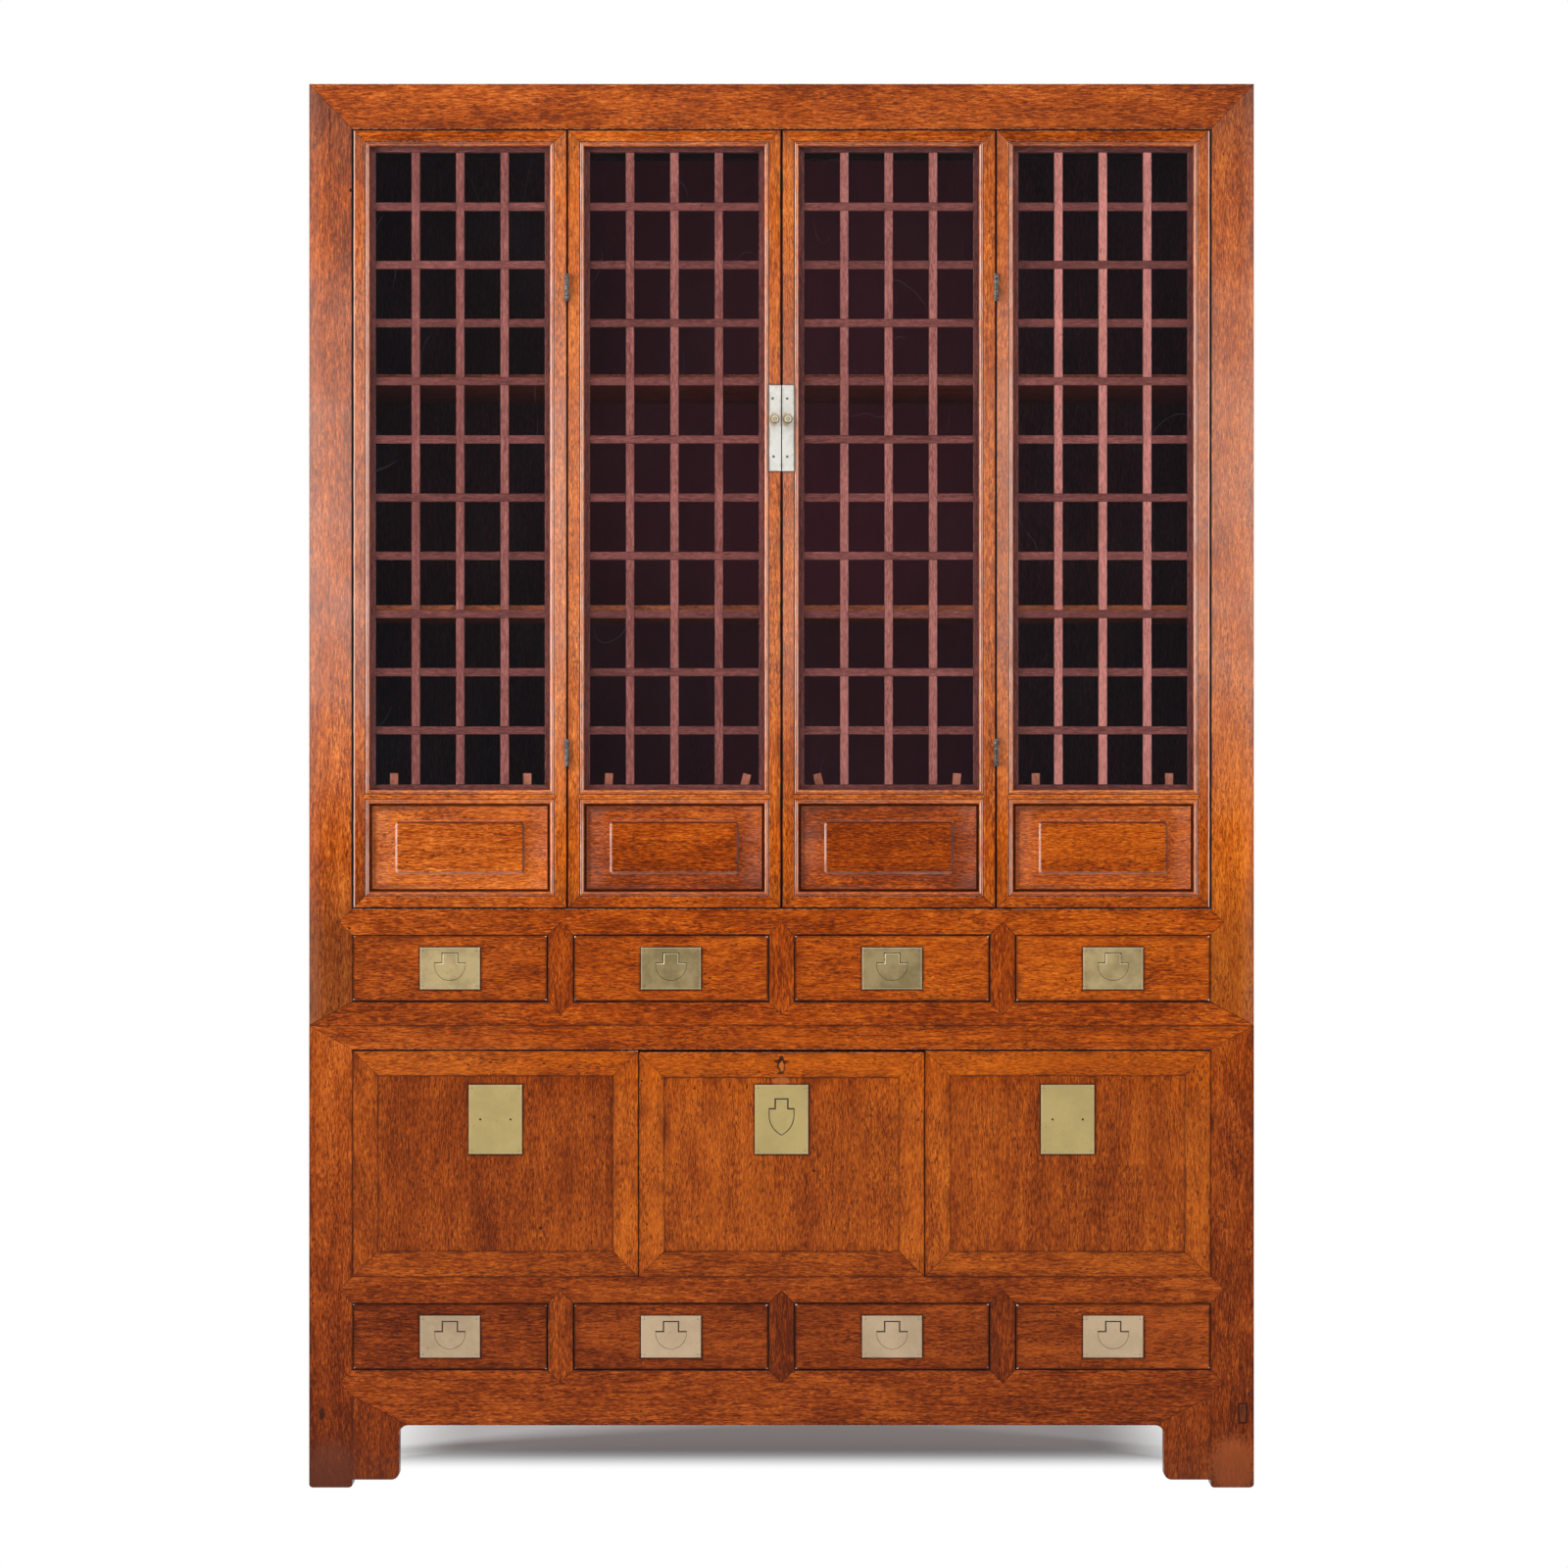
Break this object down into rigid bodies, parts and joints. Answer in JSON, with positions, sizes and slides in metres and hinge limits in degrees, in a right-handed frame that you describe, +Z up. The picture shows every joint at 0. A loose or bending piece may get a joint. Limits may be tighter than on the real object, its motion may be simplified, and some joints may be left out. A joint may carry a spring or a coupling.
{
  "type": "book cabinet",
  "caption": "Tall two-part hardwood book cabinet with glazed lattice doors, drawers with flush pulls and lift-out lower panels.",
  "frame": {"origin": "on the floor, under the centre of the whole object's box", "axes": "+X to the viewer's right, +Y from the doors to the back, +Z up"},
  "size_m": [1.42, 0.4964, 2.11],
  "materials": {
    "frame_wood": "warm red-brown hardwood, waxed",
    "drawer_wood": "warm red-brown hardwood, waxed",
    "inner_wood": "dark stained softwood inside",
    "lattice_wood": "dark red-brown wood, matt",
    "window_glass": "clear glass",
    "green_brass": "aged brass, greenish",
    "gold_brass": "aged brass",
    "pale_brass": "pale worn brass",
    "white_metal": "aged white brass plate with yellow brass knobs",
    "old_iron": "dark tarnished iron"
  },
  "bodies": {
    "root": {"upper_case_frame": "frame_wood", "lower_case_frame": "frame_wood", "case_boards": "inner_wood", "shelves": "inner_wood", "drawer_runners": "inner_wood", "fixed_leaf_frames": "frame_wood", "fixed_leaf_glass": "window_glass", "fixed_leaf_lattices": "lattice_wood", "fixed_iron": "old_iron"},
    "left_door": {"left_door_frame": "frame_wood", "left_door_field_panel": "frame_wood", "left_door_glass": "window_glass", "left_door_lattice": "lattice_wood", "left_door_lock_plate": "white_metal", "left_door_iron": "old_iron"},
    "right_door": {"right_door_frame": "frame_wood", "right_door_field_panel": "frame_wood", "right_door_glass": "window_glass", "right_door_lattice": "lattice_wood", "right_door_lock_plate": "white_metal", "right_door_iron": "old_iron"},
    "left_leaf_left_turn_button": {"left_leaf_left_turn_button": "lattice_wood"},
    "left_leaf_right_turn_button": {"left_leaf_right_turn_button": "lattice_wood"},
    "left_door_left_turn_button": {"left_door_left_turn_button": "lattice_wood"},
    "left_door_right_turn_button": {"left_door_right_turn_button": "lattice_wood"},
    "right_door_left_turn_button": {"right_door_left_turn_button": "lattice_wood"},
    "right_door_right_turn_button": {"right_door_right_turn_button": "lattice_wood"},
    "right_leaf_left_turn_button": {"right_leaf_left_turn_button": "lattice_wood"},
    "right_leaf_right_turn_button": {"right_leaf_right_turn_button": "lattice_wood"},
    "upper_drawer_1": {"upper_drawer_1": "drawer_wood", "upper_drawer_1_plate": "green_brass"},
    "upper_drawer_1_pull": {"upper_drawer_1_pull": "green_brass"},
    "upper_drawer_2": {"upper_drawer_2": "drawer_wood", "upper_drawer_2_plate": "green_brass"},
    "upper_drawer_2_pull": {"upper_drawer_2_pull": "green_brass"},
    "upper_drawer_3": {"upper_drawer_3": "drawer_wood", "upper_drawer_3_plate": "green_brass"},
    "upper_drawer_3_pull": {"upper_drawer_3_pull": "green_brass"},
    "upper_drawer_4": {"upper_drawer_4": "drawer_wood", "upper_drawer_4_plate": "green_brass"},
    "upper_drawer_4_pull": {"upper_drawer_4_pull": "green_brass"},
    "lower_drawer_1": {"lower_drawer_1": "drawer_wood", "lower_drawer_1_plate": "pale_brass"},
    "lower_drawer_1_pull": {"lower_drawer_1_pull": "pale_brass"},
    "lower_drawer_2": {"lower_drawer_2": "drawer_wood", "lower_drawer_2_plate": "pale_brass"},
    "lower_drawer_2_pull": {"lower_drawer_2_pull": "pale_brass"},
    "lower_drawer_3": {"lower_drawer_3": "drawer_wood", "lower_drawer_3_plate": "pale_brass"},
    "lower_drawer_3_pull": {"lower_drawer_3_pull": "pale_brass"},
    "lower_drawer_4": {"lower_drawer_4": "drawer_wood", "lower_drawer_4_plate": "pale_brass"},
    "lower_drawer_4_pull": {"lower_drawer_4_pull": "pale_brass"},
    "left_lower_panel": {"left_lower_panel": "frame_wood", "left_lower_panel_plate": "gold_brass"},
    "centre_lower_panel": {"centre_lower_panel": "frame_wood", "centre_lower_panel_plate": "gold_brass"},
    "right_lower_panel": {"right_lower_panel": "frame_wood", "right_lower_panel_plate": "gold_brass"},
    "centre_lower_panel_pull": {"centre_lower_panel_pull": "gold_brass"}
  },
  "joints": [
    {"name": "left_door_hinge", "type": "hinge", "parent": "root", "child": "left_door", "pos_m": [-0.3225, -0.2357, 1.105], "axis": [0, 0, -1], "range_deg": [0, 170]},
    {"name": "right_door_hinge", "type": "hinge", "parent": "root", "child": "right_door", "pos_m": [0.3225, -0.2357, 1.105], "axis": [0, 0, 1], "range_deg": [0, 170]},
    {"name": "left_leaf_left_turn_button_turn", "type": "hinge", "parent": "root", "child": "left_leaf_left_turn_button", "pos_m": [-0.5842, -0.2055, 1.0383], "axis": [0, 1, 0], "range_deg": [-90, 90]},
    {"name": "left_leaf_right_turn_button_turn", "type": "hinge", "parent": "root", "child": "left_leaf_right_turn_button", "pos_m": [-0.3833, -0.2055, 1.0383], "axis": [0, 1, 0], "range_deg": [-90, 90]},
    {"name": "left_door_left_turn_button_turn", "type": "hinge", "parent": "left_door", "child": "left_door_left_turn_button", "pos_m": [-0.2617, -0.2055, 1.0383], "axis": [0, 1, 0], "range_deg": [-93, 87]},
    {"name": "left_door_right_turn_button_turn", "type": "hinge", "parent": "left_door", "child": "left_door_right_turn_button", "pos_m": [-0.0608, -0.2055, 1.0383], "axis": [0, 1, 0], "range_deg": [-105, 75]},
    {"name": "right_door_left_turn_button_turn", "type": "hinge", "parent": "right_door", "child": "right_door_left_turn_button", "pos_m": [0.0608, -0.2055, 1.0383], "axis": [0, 1, 0], "range_deg": [-78, 102]},
    {"name": "right_door_right_turn_button_turn", "type": "hinge", "parent": "right_door", "child": "right_door_right_turn_button", "pos_m": [0.2617, -0.2055, 1.0383], "axis": [0, 1, 0], "range_deg": [-95, 85]},
    {"name": "right_leaf_left_turn_button_turn", "type": "hinge", "parent": "root", "child": "right_leaf_left_turn_button", "pos_m": [0.3833, -0.2055, 1.0383], "axis": [0, 1, 0], "range_deg": [-90, 90]},
    {"name": "right_leaf_right_turn_button_turn", "type": "hinge", "parent": "root", "child": "right_leaf_right_turn_button", "pos_m": [0.5842, -0.2055, 1.0383], "axis": [0, 1, 0], "range_deg": [-90, 90]},
    {"name": "upper_drawer_1_slide", "type": "slide", "parent": "root", "child": "upper_drawer_1", "axis": [0, -1, 0], "range_m": [0, 0.3]},
    {"name": "upper_drawer_1_pull_swing", "type": "hinge", "parent": "upper_drawer_1", "child": "upper_drawer_1_pull", "pos_m": [-0.49838, -0.2328, 0.786], "axis": [-1, 0, 0], "range_deg": [0, 60]},
    {"name": "upper_drawer_2_slide", "type": "slide", "parent": "root", "child": "upper_drawer_2", "axis": [0, -1, 0], "range_m": [0, 0.3]},
    {"name": "upper_drawer_2_pull_swing", "type": "hinge", "parent": "upper_drawer_2", "child": "upper_drawer_2_pull", "pos_m": [-0.16612, -0.2328, 0.786], "axis": [-1, 0, 0], "range_deg": [0, 60]},
    {"name": "upper_drawer_3_slide", "type": "slide", "parent": "root", "child": "upper_drawer_3", "axis": [0, -1, 0], "range_m": [0, 0.3]},
    {"name": "upper_drawer_3_pull_swing", "type": "hinge", "parent": "upper_drawer_3", "child": "upper_drawer_3_pull", "pos_m": [0.16612, -0.2328, 0.786], "axis": [-1, 0, 0], "range_deg": [0, 60]},
    {"name": "upper_drawer_4_slide", "type": "slide", "parent": "root", "child": "upper_drawer_4", "axis": [0, -1, 0], "range_m": [0, 0.3]},
    {"name": "upper_drawer_4_pull_swing", "type": "hinge", "parent": "upper_drawer_4", "child": "upper_drawer_4_pull", "pos_m": [0.49838, -0.2328, 0.786], "axis": [-1, 0, 0], "range_deg": [0, 60]},
    {"name": "lower_drawer_1_slide", "type": "slide", "parent": "root", "child": "lower_drawer_1", "axis": [0, -1, 0], "range_m": [0, 0.3]},
    {"name": "lower_drawer_1_pull_swing", "type": "hinge", "parent": "lower_drawer_1", "child": "lower_drawer_1_pull", "pos_m": [-0.49838, -0.2328, 0.2325], "axis": [-1, 0, 0], "range_deg": [0, 60]},
    {"name": "lower_drawer_2_slide", "type": "slide", "parent": "root", "child": "lower_drawer_2", "axis": [0, -1, 0], "range_m": [0, 0.3]},
    {"name": "lower_drawer_2_pull_swing", "type": "hinge", "parent": "lower_drawer_2", "child": "lower_drawer_2_pull", "pos_m": [-0.16612, -0.2328, 0.2325], "axis": [-1, 0, 0], "range_deg": [0, 60]},
    {"name": "lower_drawer_3_slide", "type": "slide", "parent": "root", "child": "lower_drawer_3", "axis": [0, -1, 0], "range_m": [0, 0.3]},
    {"name": "lower_drawer_3_pull_swing", "type": "hinge", "parent": "lower_drawer_3", "child": "lower_drawer_3_pull", "pos_m": [0.16612, -0.2328, 0.2325], "axis": [-1, 0, 0], "range_deg": [0, 60]},
    {"name": "lower_drawer_4_slide", "type": "slide", "parent": "root", "child": "lower_drawer_4", "axis": [0, -1, 0], "range_m": [0, 0.3]},
    {"name": "lower_drawer_4_pull_swing", "type": "hinge", "parent": "lower_drawer_4", "child": "lower_drawer_4_pull", "pos_m": [0.49838, -0.2328, 0.2325], "axis": [-1, 0, 0], "range_deg": [0, 60]},
    {"name": "left_lower_panel_lift_out", "type": "slide", "parent": "root", "child": "left_lower_panel", "axis": [0, -1, 0], "range_m": [0, 0.35]},
    {"name": "centre_lower_panel_lift_out", "type": "slide", "parent": "root", "child": "centre_lower_panel", "axis": [0, -1, 0], "range_m": [0, 0.35]},
    {"name": "right_lower_panel_lift_out", "type": "slide", "parent": "root", "child": "right_lower_panel", "axis": [0, -1, 0], "range_m": [0, 0.35]},
    {"name": "centre_lower_panel_pull_swing", "type": "hinge", "parent": "centre_lower_panel", "child": "centre_lower_panel_pull", "pos_m": [0, -0.2328, 0.5674], "axis": [-1, 0, 0], "range_deg": [0, 60]}
  ]
}
